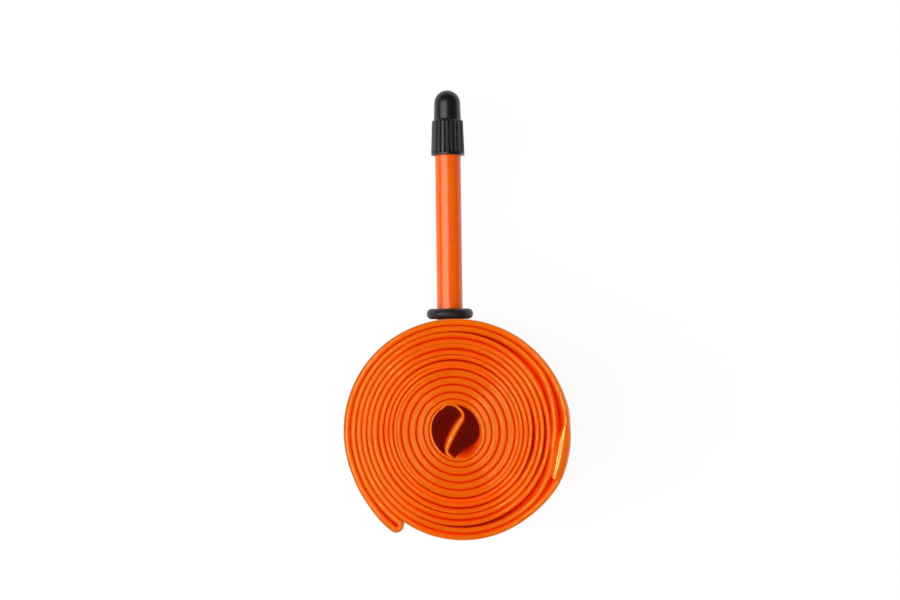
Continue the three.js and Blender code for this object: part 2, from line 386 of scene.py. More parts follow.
# Moulded glossy stem: orange peel, a faint mottle and a slightly redder shade in patches
def stemFinish():
    look = stemLook
    finish = Finish("stemOrange")
    slow = finish.noise(finish.place((1, 0.25, 1)), 240.0, 3.0)
    peel = finish.noise(finish.place((1, 0.6, 1)), 1400.0, 3.0)
    colour = finish.mixed((1.5 * (slow - 0.25)).held(), look["light"], look["red"])
    roughness = (look["roughness"] + 0.16 * (peel - 0.5) + 0.1 * (slow - 0.5)).held()
    return finish.shaded(
        Base_Color=colour, Roughness=roughness, Normal=finish.bump(peel, 0.3, 0.00018),
        Subsurface_Weight=0.1, Subsurface_Radius=look["scatter"], Subsurface_Scale=1.0,
        Specular_IOR_Level=0.6, Specular_Tint=look["shine"],
    )


blackLook = {
    "rubber": ((0.008, 0.008, 0.009), (0.017, 0.0165, 0.0165)),  # darkest and palest
    "rubberRoughness": 0.46,
    "plastic": ((0.0055, 0.006, 0.0075), (0.011, 0.011, 0.0115)),
    "plasticRoughness": 0.3,
}


# Satin black rubber with a fine bloom
def rubberFinish():
    finish = Finish("blackRubber")
    bloom = finish.noise(finish.place(), 380.0, 4.0)
    grain = finish.noise(finish.place(), 4200.0, 3.0)
    colour = finish.mixed((1.4 * (bloom - 0.3)).held(), *blackLook["rubber"])
    roughness = (blackLook["rubberRoughness"] + 0.2 * (bloom - 0.5) + 0.12 * (grain - 0.5)).held()
    return finish.shaded(Base_Color=colour, Roughness=roughness, Normal=finish.bump(grain, 0.25, 0.00008))


# Moulded black plastic: satin, with fine drag marks from the mould along the valve's axis
def plasticFinish():
    finish = Finish("blackPlastic")
    cloud = finish.noise(finish.place(), 300.0, 3.0)
    drag = finish.noise(finish.place((1, 0.06, 1)), 3800.0, 3.0)
    colour = finish.mixed((1.4 * (cloud - 0.3)).held(), *blackLook["plastic"])
    roughness = (blackLook["plasticRoughness"] + 0.14 * (drag - 0.5) + 0.12 * (cloud - 0.5)).held()
    return finish.shaded(Base_Color=colour, Roughness=roughness, Normal=finish.bump(drag, 0.2, 0.00006))


# Turned metal: fine rings across the axis, and a dull tarnish in patches
def metalFinish(name, bright, dull, smoothness):
    finish = Finish(name)
    rings = finish.noise(finish.place((0.05, 1, 0.05)), 9000.0, 2.0)
    tarnish = finish.noise(finish.place(), 700.0, 4.0)
    colour = finish.mixed((2.2 * (tarnish - 0.42)).held(), bright, dull)
    roughness = (smoothness + 0.22 * (tarnish - 0.4) + 0.12 * (rings - 0.5)).held()
    return finish.shaded(
        Base_Color=colour, Roughness=roughness, Metallic=1.0, Normal=finish.bump(rings, 0.3, 0.00003)
    )


film = filmFinish()
weld = weldFinish()
stemPlastic = stemFinish()
rubber = rubberFinish()
plastic = plasticFinish()
brass = metalFinish("brass", (0.74, 0.53, 0.22), (0.5, 0.34, 0.15), 0.26)
nickel = metalFinish("nickel", (0.7, 0.69, 0.66), (0.5, 0.49, 0.47), 0.24)
print("materials made")

roll = {
    "windStart": 213,  # direction of the outer end loop in degrees, clockwise from the valve's side
    # Turns from the outer end, radius of the middle of the doubled strip, half the spacing of its strands
    "knots": [
        (0, 24.75, 0.9), (0.05, 24.12, 0.71), (0.1, 23.72, 0.7), (0.25, 23.4, 0.7), (0.33, 23.24, 0.7),
        (0.42, 23.36, 0.69), (0.5, 23.68, 0.72), (0.57, 23.88, 0.77), (0.63, 23.55, 1.24), (0.68, 23.05, 1.3),
        (0.735, 23.6, 1.15), (0.765, 23.45, 0.82), (0.79, 23.22, 0.7), (0.82, 22.99, 0.68),
        (0.95, 22.1, 0.65), (1, 21.8, 0.62), (1.1, 21.21, 0.59), (1.25, 20.93, 0.59), (2, 19.21, 0.62),
        (3, 16.53, 0.57), (4, 14.36, 0.47), (5, 12.59, 0.42), (6, 10.93, 0.41), (7, 9.29, 0.41),
        (8, 7.51, 0.32), (9, 6.33, 0.265), (10, 5.35, 0.245),
    ],
    "ovalDepth": 0.29,
    "ovalDirection": -26,
    "outerEnd": 9.9,  # turns where the outer strand leaves the spiral for the middle
    "innerEnd": 9.33,  # and where the inner strand does
    # The fold that crosses the hole as an S
    "middle": [
        (-1.42, -5.25), (-2.1, -4.25), (-1.76, -2.8), (-1.08, -1.3), (-0.07, 0.6),
        (0.95, 2.1), (1.52, 3.2), (1.4, 4.2), (0.5, 5.3), (-0.95, 5.97),
    ],
    "taper": 0.022,  # the roll's lower end is smaller by this share
    "stations": 1500,  # sections along the whole strip
    "foldSteps": 11,
    "wallDepths": [0.5, 1.2, 2.2, 3.6, 5.6, 8.5, 12.5, 17],  # rows of points below a fold
}

# Where the folds lean on the next turn, how wide the strands are and how much air lies between them.
# Angles are directions in radians, and a place with a spread is a bell.
pressing = {
    "leanTurns": (3.9, 5.2),  # folds begin to lean at the first, and lean all round from the second inwards
    "valveSideTurns": (0.6, 1.1),  # on the valve's side and opposite it, they begin over these outer turns
    "valveSideCosine": (0.72, 0.96),  # where the direction's cosine is this high
    "valveSideLean": 0.75,  # and lean this much
    "mostLean": 0.85,
    "leftLimits": (0.17, 0.62), "rightLimits": (0.15, 0.6),  # thinnest and thickest half of a strand
    "free": 0.1,  # a strand with no neighbour is thinner by this
    "innermostFrom": 8.8,  # the inner strand has no inner neighbour from here on
    "outerExtra": 0.24,  # the outermost strand bulges outwards
    "innerHalf": 0.27,  # half thickness of the fold that crosses the hole
    "puff": (0.75, 0.6),  # what puffing adds to it along its diagonal, to the left and to the right
    "puffAt": (0.42, 0.17),  # share of the way across the hole, and spread
    "weakGap": 0.15,  # air between one turn and the next, where their folds don't lean together
    "strongGap": (0.108, 0.132),  # air between a turn's two strands, and what a looser band adds to it
    "looseBand": (3.6, 0.9),  # turns and spread
    "slack": 0.55,  # more air where the strands have come apart
    "slackAngle": (1.75, 0.45),
    "slackTurns": (0.9, 1.4, 2.8, 3.6),  # begins, is full, fades and ends
    "atSplice": 0.3,  # extra width of the outer strand where it runs into the splice
    "spliceTurns": (0.64, 0.035),
    "outerRim": 0.22,  # extra width of the strands round the hole
    "outerRimTurns": (9.3, 9.4),
    "innerRim": 0.2,
    "innerRimTurns": (8.85, 8.95, 9.12, 9.3),
    "shelf": 1.45,  # how far the innermost strand spreads into the hole on one side
    "shelfTurns": (9.82, 0.08),
}


# Radius of the middle of the doubled strip, oval included, and half the spacing of its strands
def wind(turns):
    knots = np.array(roll["knots"])
    angle = np.radians(roll["windStart"]) + turn * turns
    oval = roll["ovalDepth"] * np.cos(2 * (angle - math.radians(roll["ovalDirection"])))
    return np.interp(turns, knots[:, 0], knots[:, 1]) + oval, np.interp(turns, knots[:, 0], knots[:, 2])


# A strand's points: angle grows with the turns, the radius is the strip's plus or minus half the spacing
def strand(turns, side):
    radius, half = wind(turns)
    angle = np.radians(roll["windStart"]) + turn * turns
    radius = radius + side * half
    return np.stack([radius * np.sin(angle), radius * np.cos(angle)], axis=1)


# A smooth curve through points: each span is the cubic whose slopes are half the chords across its ends
def throughPoints(points, steps):
    ends = np.array(points, float)
    at = (np.arange(steps) / steps)[None, :, None]
    a, b, c, d = (ends[i : len(ends) - 3 + i][:, None] for i in range(4))
    cubic = b + 0.5 * at * (c - a + at * (2 * a - 5 * b + 4 * c - d + at * (3 * (b - c) + d - a)))
    return cubic.reshape(-1, 2)


# The closed route of the strip: its points and, for each of them, its turns, its side (1 outer, -1 inner,
# 0 between the two) and how far across the hole it lies, 0 to 1
def denseRoute():
    steps = 6000  # along each strand
    fine = 60  # along the end loop, and along each span of the fold that crosses the hole
    outerTurns = np.linspace(0, roll["outerEnd"], steps)
    innerTurns = np.linspace(roll["innerEnd"], 0, steps)
    outer, inner = strand(outerTurns, 1), strand(innerTurns, -1)
    reach = 120  # how far back along a strand the joining curve takes its direction
    ends = [outer[-reach], outer[-1], *roll["middle"], inner[0], inner[reach]]
    middle = throughPoints(ends, fine)
    radius, half = (float(value) for value in wind(0.0))
    start = math.radians(roll["windStart"])
    centre = radius * np.array([math.sin(start), math.cos(start)])
    angle = -start - math.pi / 2 - math.pi * np.arange(1, fine) / fine
    loop = centre + half * np.stack([np.cos(angle), np.sin(angle)], axis=1)
    points = np.vstack([outer, middle, inner, loop])
    middleTurns = np.full(len(middle), roll["outerEnd"])
    turns = np.concatenate([outerTurns, middleTurns, innerTurns, np.zeros(len(loop))])
    side = np.repeat([1.0, 0.0, -1.0, 0.0], [steps, len(middle), steps, len(loop)])
    across = np.arange(1, len(middle) + 1) / len(middle)
    crossing = np.concatenate([np.zeros(steps), across, np.zeros(steps + len(loop))])
    return points, turns, side, crossing


# Runs a short average along a closed row of values
def evened(values, reach):
    kernel = np.hanning(2 * reach + 3)[1:-1]
    wrapped = np.concatenate([values[-reach:], values, values[:reach]])
    return np.convolve(wrapped, kernel / kernel.sum(), mode="valid")


# The route at its stations, closer together where the strip bends tightly: their spacing follows the
# bend's radius, within limits
def rollStations():
    share, closest, widest = 0.14, 0.12, 1.3
    points, turns, side, crossing = denseRoute()
    chords = np.roll(points, -1, axis=0) - points
    steps = np.linalg.norm(chords, axis=1)
    heading = np.unwrap(np.arctan2(chords[:, 1], chords[:, 0]))
    bend = evened(np.abs(np.gradient(heading)), 30) / evened(steps, 30)
    pace = np.clip(share / bend, closest, widest)
    spent = np.concatenate([[0], np.cumsum(steps / pace)])
    length = np.concatenate([[0], np.cumsum(steps)])
    wanted = np.linspace(0, spent[-1], roll["stations"] + 1)[:-1]

    def sampled(values):
        return np.interp(wanted, spent[:-1], values)

    centre = np.stack([sampled(points[:, 0]), sampled(points[:, 1])], axis=1)
    along = np.interp(wanted, spent, length)
    return centre, sampled(turns), sampled(side), sampled(crossing), along, length[-1]


# How far the folds lean on the next turn: fully (1) in the inner turns, and partly in the outer turns on
# the valve's side and opposite it
def leaning(turns, angle):
    facing = pressing["valveSideLean"] * smooth(np.abs(np.cos(angle)), *pressing["valveSideCosine"])
    inner = smooth(turns, *pressing["leanTurns"])
    return np.maximum(inner, facing * smooth(turns, *pressing["valveSideTurns"]))


# Half thickness of the strip towards the neighbouring turn (left) and towards its own twin (right), how far
# each wall can spread before it meets its neighbour, and the slack
def strandHalves(turns, side, angle, puffed):
    onOuter, onInner = side > 0.5, side < -0.5
    radius, half = wind(turns)
    before, halfBefore = wind(np.maximum(turns - 1, 0))
    after, halfAfter = wind(np.minimum(turns + 1, 10))
    outerRoom = (before - halfBefore - radius - half) / 2
    innerRoom = (radius - half - after - halfAfter) / 2
    free = half - pressing["free"]
    outerRoom = np.where(turns < 1, free, outerRoom)
    innerRoom = np.where(turns > pressing["innermostFrom"], free, innerRoom)
    room = np.where(onOuter, outerRoom, np.where(onInner, innerRoom, free))
    weakGap = pressing["weakGap"] * (1 - leaning(turns, angle)) ** 2
    slack = pressing["slack"] * bell(angle, *pressing["slackAngle"]) * plateau(turns, *pressing["slackTurns"])
    tight, looser = pressing["strongGap"]
    strongGap = tight + looser * bell(turns, *pressing["looseBand"]) + slack
    outermost = onOuter & (turns < 1)
    innerRim = onInner * plateau(turns, *pressing["innerRimTurns"])
    outerRim = onOuter * smooth(turns, *pressing["outerRimTurns"])
    atSplice = onOuter * bell(turns, *pressing["spliceTurns"])
    left = np.clip(room - weakGap / 2, *pressing["leftLimits"])
    left = left + pressing["outerExtra"] * outermost + pressing["innerRim"] * innerRim
    right = np.clip(half - strongGap / 2, *pressing["rightLimits"])
    right = right + pressing["atSplice"] * atSplice + pressing["outerRim"] * outerRim
    middle = (np.abs(side) < 0.5) & (turns > 5)  # the fold that crosses the hole, not the end loop
    rooms = [np.where(middle, 0, np.maximum(value, 0)) for value in (room - left, half - right)]
    left, right = (np.where(middle, pressing["innerHalf"], value) for value in (left, right))
    shelf = smooth(side, 0.4, 0.9) * bell(turns, *pressing["shelfTurns"])
    left = left + pressing["puff"][0] * puffed
    right = right + pressing["puff"][1] * puffed + pressing["shelf"] * shelf
    return left, right, *rooms, slack


# What happens to the film above and below: how high a fold stands, how far it has sunk, and how the walls
# spread further down
relaxing = {
    "ellipse": 0.45,  # share of the ellipse in an upright fold, the rest being a sine arch
    "foldHeight": (0.85, 0.55),  # a fold's height over its half width, and what leaning adds
    "highest": 0.7,
    "wideExtra": 0.9,  # a wide fold may stand this much higher
    "wideFrom": (1.0, 1.8),  # over these half widths
    "waves": [  # height, count round the roll, drift from turn to turn, shift between the strands
        (0.104, 3, 2.1, 0), (0.08, 5, -1.3, 1),
    ],
    # Stretches that lie lower: depth, turns and spread, direction and spread, strand (1 outer, -1 inner)
    "hollows": [
        {"depth": 0.55, "turns": (4.1, 0.7), "strand": 1},
        {"depth": 0.35, "turns": (2.6, 0.35), "strand": -1},
        {"depth": 0.5, "turns": (3.2, 0.4), "angle": (4.4, 0.9)},
        {"depth": 0.7, "turns": (2.2, 0.9), "angle": (1.6, 0.55), "strand": 1},
        {"depth": 0.5, "turns": (0.69, 0.05), "strand": 1},
    ],
    "closing": (0.2, 1.3),  # depths below a fold where its walls begin and end to meet their neighbours
    "slackClosing": 2.5,  # they end lower by this share of the slack
    "narrowing": (2.0, 13.0),  # depths over which the hole narrows
    "crossSpread": (2.9, 3.3),  # by how much the fold that crosses it spreads there, left and right
    "rimSpread": (2.6, 2.9),  # and the strands round it, the inner to its left and the outer to its right
    "innerTurns": (8.7, 9.0), "outerTurns": (9.0, 9.25),  # turns over which those two begin
    "shadeHalfDepth": 2.6,  # depth at which the painted shade is half way
    "shadeLean": 2.2,  # how much faster it grows on leaning folds
    "outsideShade": 0.12,  # share of it on the outside of the roll
}


# How far each station lies below the roll's end: slow waves and the hollows
def sunken(turns, side, angle):
    waves = 0
    for height, count, drift, apart in relaxing["waves"]:
        waves = waves + height * np.sin(count * angle + drift * turns + apart * side)
    sunk = np.abs(waves)
    for hollow in relaxing["hollows"]:
        here = hollow["depth"] * bell(turns, *hollow["turns"])
        if "angle" in hollow:
            here = here * bell(angle, *hollow["angle"])
        if "strand" in hollow:
            here = here * (side * hollow["strand"] > 0.5)
        sunk = sunk + here
    return evened(sunk, 6)


# The strip is swept along the route. Its section is a tall narrow loop with a round fold at the top and at
# the bottom. An upright fold is a mix of an ellipse and a sine arch. A leaning one is a quarter of a sine
# whose crest is at the next turn's side. Below the fold the walls close up on their neighbours.
def makeRoll():
    centre, turns, side, crossing, along, length = rollStations()
    angle = np.arctan2(centre[:, 0], centre[:, 1]) % turn
    ahead = np.roll(centre, -1, axis=0) - np.roll(centre, 1, axis=0)
    ahead /= np.linalg.norm(ahead, axis=1, keepdims=True)
    leftward = np.stack([-ahead[:, 1], ahead[:, 0]], axis=1)
    # The fold that crosses the hole is puffed up along its diagonal
    diagonal = np.where(crossing > 0, bell(crossing, *pressing["puffAt"]), 0)
    halves = [evened(values, 4)[:, None] for values in strandHalves(turns, side, angle, diagonal)]
    left, right, leftRoom, rightRoom, slack = halves
    lean = evened(pressing["mostLean"] * leaning(turns, angle) * (np.abs(side) > 0.5), 5)[:, None]
    upright, leaned = relaxing["foldHeight"]
    highest = relaxing["highest"] + relaxing["wideExtra"] * smooth(right, *relaxing["wideFrom"])
    foldHeight = np.minimum((left + right) / 2 * (upright + leaned * lean), highest)
    drop = sunken(turns, side, angle)[:, None]

    # Across and up, from the side towards its twin (sweep 0) to the side towards the next turn (sweep pi)
    sweep = np.linspace(0, math.pi, roll["foldSteps"])[None, :]
    even = 1 - 2 * sweep / math.pi
    ellipse = relaxing["ellipse"]
    acrossFold = (1 - lean) * (ellipse * np.cos(sweep) + (1 - ellipse) * even) + lean * even
    upFold = (1 - lean) * np.sin(sweep) + lean * np.sin(sweep / 2)
    foldAcross = np.where(acrossFold > 0, acrossFold * right, acrossFold * left)
    foldDepth = (1 - upFold) * foldHeight

    below = np.array(roll["wallDepths"])[None, :]
    depths = foldHeight + below
    closingFrom, closingTo = relaxing["closing"]
    closing = smooth(below, closingFrom, closingTo + relaxing["slackClosing"] * slack)
    # The fold that crosses the hole and the strands round it spread far below, until they meet
    narrowing = smooth(depths, *relaxing["narrowing"])
    crossed = evened((crossing > 0) * 1.0, 6)[:, None]
    innerRim = evened((side < -0.5) * smooth(turns, *relaxing["innerTurns"]), 12)[:, None]
    outerRim = evened((side > 0.5) * smooth(turns, *relaxing["outerTurns"]), 12)[:, None]
    leftSpread = relaxing["crossSpread"][0] * crossed + relaxing["rimSpread"][0] * innerRim
    rightSpread = relaxing["crossSpread"][1] * crossed + relaxing["rimSpread"][1] * outerRim
    leftWall = left + leftRoom * closing + leftSpread * narrowing
    rightWall = right + rightRoom * closing + rightSpread * narrowing

    # Once round: up the right wall, over the top fold, down the left wall, then the same below
    half = rollCentre["top"] / 2
    topAcross = np.concatenate([rightWall[:, ::-1], foldAcross, -leftWall], axis=1)
    topDepth = np.concatenate([depths[:, ::-1], foldDepth, depths], axis=1)
    across = np.concatenate([topAcross, topAcross[:, ::-1]], axis=1)
    topHeight = half - topDepth
    height = np.concatenate([topHeight, -topHeight[:, ::-1]], axis=1)
    onTop = np.repeat([1.0, 0.0], topHeight.shape[1])[None, :]
    level = half + height - drop * onTop * smooth(height, -0.4 * half, 0.6 * half)

    points = np.empty((*across.shape, 3))
    size = 1 - roll["taper"] * (1 - level / rollCentre["top"])
    points[:, :, 0] = rollCentre["x"] + (centre[:, :1] - across * leftward[:, :1]) * size
    points[:, :, 1] = rollCentre["y"] + (centre[:, 1:] - across * leftward[:, 1:]) * size
    points[:, :, 2] = level

    # Painted depth shade: a share of the depth below the nearest end, that grows faster on leaning folds and
    # counts a sunken fold as deeper.
    # It stays low on the outside of the roll.
    depth = (half - np.abs(height)) * (1 + relaxing["shadeLean"] * lean) + 0.6 * drop
    outside = ((turns < 0.98) & (side > -0.5))[:, None] & (across < 0)
    tone = depth / (depth + relaxing["shadeHalfDepth"]) * np.where(outside, relaxing["outsideShade"], 1.0)
    around = np.linspace(0, 1, across.shape[1] + 1)
    made = gridMesh("rolledFilm", points, uv=(np.append(along, length) * mm, around), tone=tone)
    return finishPiece(made, "tube", ["tube_body"], film)


makeRoll()
print("roll made")

splice = {
    "start": 0.651, "end": 0.732,  # turns
    "crest": 24.02,  # radius of the crest at its ends
    "sag": 0.64,  # how far a straight bead's middle lies inside the arc between its ends
    "edge": (25.45, 25.85),  # radius of its outer edge, from start to end
    "inner": 1.0,  # reach of its inner flank from the crest
    "innerStart": 0.45,  # share of that reach where the bead starts
    "innerGrows": 0.3,  # share of the bead's length over which it grows to the whole
    "ripple": 0.03, "ripples": 23,  # unevenness of that flank as a share, and its rate
    "fallInner": 1.3, "fallOuter": 1.6,  # depth of the two flanks
    "steepness": 3.2,  # power of the inner flank
    "bend": 0.22,  # share of the outer flank over which the crest turns down
    "rollOver": 0.4, "rollPower": 7,  # share of the outer fall that comes at its very edge, and its power
    "blunt": 18,  # power of the ends: the higher, the more sudden
    "innerEnds": 0.6, "outerEnds": 0.7,  # width of the flanks at the very ends
    "crinkle": 0.09, "crinkles": 70, "crinkleFrom": (0.86, 0.98),  # height, rate and where they begin
    "rise": 0.1,
    "clearance": 0.02,  # above the floor
    "stations": 90, "steps": 25,
}


# The welded splice: a lap of double film, swept along the outermost strand as a tall closed loop. Its crest
# is nearly straight. The flank towards the roll is steep, its depth a power of the share across. The outer
# one is a broad slope, a hyperbola in the share, that rolls over at its edge. The bead starts in a blunt
# step and ends in crinkles.
def makeSplice():
    share = np.linspace(0, 1, splice["stations"])
    turns = splice["start"] + (splice["end"] - splice["start"]) * share
    angle = math.radians(roll["windStart"]) + turn * turns
    out = np.stack([np.sin(angle), np.cos(angle)], axis=1)
    crest = splice["crest"] - splice["sag"] * np.sin(math.pi * share)
    blunt = np.sqrt(np.clip(1 - np.abs(2 * share - 1) ** splice["blunt"], 0, 1))
    crinkle = splice["crinkle"] * np.sin(splice["crinkles"] * share) * smooth(share, *splice["crinkleFrom"])
    grown = splice["innerStart"] + (1 - splice["innerStart"]) * smooth(share, 0, splice["innerGrows"])
    ripple = 1 + splice["ripple"] * np.sin(splice["ripples"] * share)
    inner = splice["inner"] * grown * ripple * (splice["innerEnds"] + (1 - splice["innerEnds"]) * blunt)
    edge = splice["edge"][0] + (splice["edge"][1] - splice["edge"][0]) * share
    outer = (edge - crest) * (splice["outerEnds"] + (1 - splice["outerEnds"]) * blunt)
    across = np.linspace(-1, 1, splice["steps"])
    inside = across < 0
    reach = np.where(inside, inner[:, None], outer[:, None]) * across
    fallInner = splice["fallInner"] * np.abs(across) ** splice["steepness"]
    bend = splice["bend"]
    slope = (np.sqrt(across**2 + bend**2) - bend) / (math.sqrt(1 + bend**2) - bend)
    atEdge = np.abs(across) ** splice["rollPower"]
    fallOuter = splice["fallOuter"] * (slope + splice["rollOver"] * (atEdge - slope))
    fall = np.where(inside, fallInner, fallOuter)
    half = rollCentre["top"] / 2
    topHalf = half + splice["rise"] * blunt[:, None] + crinkle[:, None] * (1 - np.abs(across))
    up = topHalf - fall
    radius = crest[:, None] + np.concatenate([reach, reach[:, ::-1]], axis=1)
    height = half + np.concatenate([up, -up[:, ::-1]], axis=1)
    points = np.empty((*radius.shape, 3))
    points[:, :, 2] = np.maximum(height, splice["clearance"])
    size = 1 - roll["taper"] * (1 - np.minimum(points[:, :, 2] / rollCentre["top"], 1))
    points[:, :, 0] = rollCentre["x"] + radius * out[:, :1] * size
    points[:, :, 1] = rollCentre["y"] + radius * out[:, 1:] * size
    closings = [points[:1].mean(axis=1, keepdims=True), points[-1:].mean(axis=1, keepdims=True)]
    first, last = (np.repeat(centre, points.shape[1], axis=1) for centre in closings)
    made = gridMesh("weldedSplice", np.concatenate([first, points, last], axis=0), (False, True))
    return finishPiece(made, "tube", ["splice_overlap"], weld)


makeSplice()
frame["nodes"]["valve_foot"].data.materials.clear()
frame["nodes"]["valve_foot"].data.materials.append(weld)
print("splice made")

stem = {
    "bore": 2.2, "flare": 0.16, "flareReach": 1.3, "chamfer": 0.45, "skin": 0.2, "wave": 0.012, "sides": 160,
    # Moulding marks: depth, height above the foot and spread, direction in radians and spread
    "marks": [(0.09, (4.6, 0.22), (-0.14, 0.1)), (0.063, (5.8, 0.16), (0.12, 0.08))],
}


# The stem: a tube with a soft chamfer at its mouth, a slight flare at its foot and two moulding marks
def makeStem():
    radius, foot, mouth = valve["radius"], valve["foot"], valve["mouth"]
    corners = [
        (stem["bore"], foot), (radius, foot), (radius, mouth - stem["chamfer"]),
        (radius - stem["chamfer"], mouth), (stem["bore"], mouth),
    ]

    def relief(r, height, angle):
        outer = r > radius - stem["skin"]
        flare = stem["flare"] * np.exp(-(height - foot) / stem["flareReach"])
        facing = (angle + math.pi) % turn - math.pi
        marks = 0
        for depth, place, side in stem["marks"]:
            marks = marks + depth * bell(height - foot, *place) * bell(facing, *side)
        wave = stem["wave"] * np.sin(height * 0.9) * np.sin(2 * angle + 0.4)
        return outer * (flare - marks + wave)

    profile = divided(rounded(corners, 0.2), 0.35)
    made = turnedPiece("valveStem", profile, stem["sides"], relief)
    return finishPiece(made, "tube", ["valve_stem"], stemPlastic)


bush = {
    "length": 8, "bore": 1.65, "outside": 2.05, "sunk": 0.05, "knurls": 24, "knurlDepth": 0.08,
    "pitch": 0.5, "threadDepth": 0.096, "threadEnds": (0.4, 0.3), "sides": 144,
}


# The threaded bush in the stem's mouth, knurled outside
def makeBush():
    low, high = valve["mouth"] - bush["length"], valve["mouth"] - bush["sunk"]
    corners = [(bush["bore"], low), (bush["outside"], low), (bush["outside"], high), (bush["bore"], high)]
    threadLow, threadHigh = low + bush["threadEnds"][0], high - bush["threadEnds"][1]

    def relief(r, height, angle):
        inside = r < bush["bore"] + 0.1
        thread = threadRelief(height, angle, threadLow, threadHigh, bush["pitch"], bush["threadDepth"])
        knurl = -bush["knurlDepth"] * (0.5 + 0.5 * np.cos(bush["knurls"] * angle))
        return np.where(inside, thread, knurl * (r > bush["outside"] - 0.02))

    profile = divided(rounded(corners), 0.1)
    made = turnedPiece("threadBush", profile, bush["sides"], relief)
    return finishPiece(made, "tube", ["stem_thread_insert"], brass)


makeStem()
makeBush()

ring = {
    "sectionHigh": 1.27, "sectionWide": 1.15,  # half its section along the valve and across it
    "lower": 0.2,  # it sits closer to the roll by this
    "flatten": 0.04, "flash": 0.035, "flashWidth": 0.1, "sides": 160, "sectionSides": 40,
}


# The rim O-ring: a ring of nearly round section, a little flattened, with a fine mould line round its outside
def makeRing():
    low, high, outside = spanOf("rim_o_ring")
    centre = (low + high) / 2 - ring["lower"]
    middle = outside - ring["sectionWide"]
    sweep = np.arange(ring["sectionSides"]) * turn / ring["sectionSides"]
    squeeze = 1 - ring["flatten"] * np.abs(np.sin(sweep)) ** 3
    flash = ring["flash"] * bell(np.sin(sweep), 0, ring["flashWidth"])
    radius = middle + ring["sectionWide"] * np.cos(sweep) + flash
    height = centre + ring["sectionHigh"] * np.sin(sweep) * squeeze
    made = turnedPiece("rimRing", np.stack([radius, height], axis=1), ring["sides"])
    return finishPiece(made, "rim_ring", ["rim_o_ring"], rubber)


makeRing()
print("stem and ring made")

core = {
    "thread": 1.5, "bore": 0.9, "flatsRadius": 2.45, "flatsAcross": 4.2, "neck": 1.9,
    "shoulder": 1.0, "flatsHeight": 4.0, "threadLength": 8, "pitch": 0.5, "threadDepth": 0.13,
    "tip": (0.2, 0.4),  # the thread's end is smaller by this, over this length
    "neckStep": (0.8, 0.4),  # the flats end and the neck begins this far below the top
    "gasketBore": 1.62, "sealBore": 0.9, "sealBelly": 0.25, "sides": 144, "rubberSides": 96,
}


# The core's barrel: threaded below its shoulder, with two wrench flats above it
def makeBarrel():
    mouth = valve["mouth"]
    low, shoulder, top = mouth - core["threadLength"], mouth + core["shoulder"], mouth + core["flatsHeight"]
    tipIn, tipLong = core["tip"]
    flatsEnd, neckStart = (top - step for step in core["neckStep"])
    corners = [
        (core["bore"], low), (core["thread"] - tipIn, low), (core["thread"], low + tipLong),
        (core["thread"], shoulder), (core["flatsRadius"], shoulder), (core["flatsRadius"], flatsEnd),
        (core["neck"], neckStart), (core["neck"], top), (core["bore"], top),
    ]

    def relief(r, height, angle):
        thread = threadRelief(height, angle, low + 0.3, mouth - 0.1, core["pitch"], core["threadDepth"])
        thread = thread * (np.abs(r - core["thread"]) < 0.05)
        flat = core["flatsAcross"] / 2 / np.maximum(np.abs(np.sin(angle)), 0.2)
        cut = np.minimum(flat - r, 0) * (height > shoulder - 0.05) * (r > core["neck"] + 0.02)
        return thread + cut

    profile = divided(rounded(corners, 0.12), 0.1)
    made = turnedPiece("coreBarrel", profile, core["sides"], relief)
    return finishPiece(made, "valve_core", ["core_barrel"], brass)


# The gasket under the barrel's shoulder: a flat ring with bulging edges
def makeGasket():
    low, high, outside = spanOf("core_gasket")
    inside = core["gasketBore"]
    corners = [(inside, low), (outside, low), (outside, high), (inside, high)]
    made = turnedPiece("coreGasket", rounded(corners, 0.3, 6), core["rubberSides"])
    return finishPiece(made, "valve_core", ["core_gasket"], rubber)


pin = {
    "groove": 0.22, "grooveEnds": (1.0, 0.85, 0.6, 0.45),  # depth, and its edges' distances below the tip
    "tipIn": 0.1, "threadEnds": (6.2, 1.1), "pitch": 0.3, "threadDepth": 0.1, "sides": 72,
}


# The pin: thin rod, threaded near its tip, with a groove below its flat riveted head
def makePin():
    low, high, radius = spanOf("core_pin")
    bottom = radius - pin["groove"]
    a, b, c, d = (high - distance for distance in pin["grooveEnds"])
    corners = [
        (0, low), (radius, low), (radius, a), (bottom, b), (bottom, c), (radius, d),
        (radius - pin["tipIn"], high), (0, high),
    ]
    threadLow, threadHigh = (high - distance for distance in pin["threadEnds"])

    def relief(r, height, angle):
        thread = threadRelief(height, angle, threadLow, threadHigh, pin["pitch"], pin["threadDepth"])
        return thread * (r > radius - 0.05)

    profile = divided(rounded(corners, 0.12, closed=False), 0.07, closed=False)
    made = turnedPiece("corePin", profile, pin["sides"], relief, closed=False)
    return finishPiece(made, "core_needle", ["core_pin"], brass)


# The seal on the pin's inner end: a barrel-shaped rubber sleeve
def makeSeal():
    low, high, outside = spanOf("pin_seal")
    inside = core["sealBore"]
    shoulder = outside - core["sealBelly"]
    corners = [(inside, low), (shoulder, low), (outside, (low + high) / 2), (shoulder, high), (inside, high)]
    made = turnedPiece("pinSeal", rounded(corners, 0.6, 8), core["rubberSides"])
    return finishPiece(made, "core_needle", ["pin_seal"], rubber)


nut = {"knurls": 20, "depth": 0.16, "bore": 0.9, "chamfer": 0.3, "mouth": (0.25, 0.2), "sides": 240}


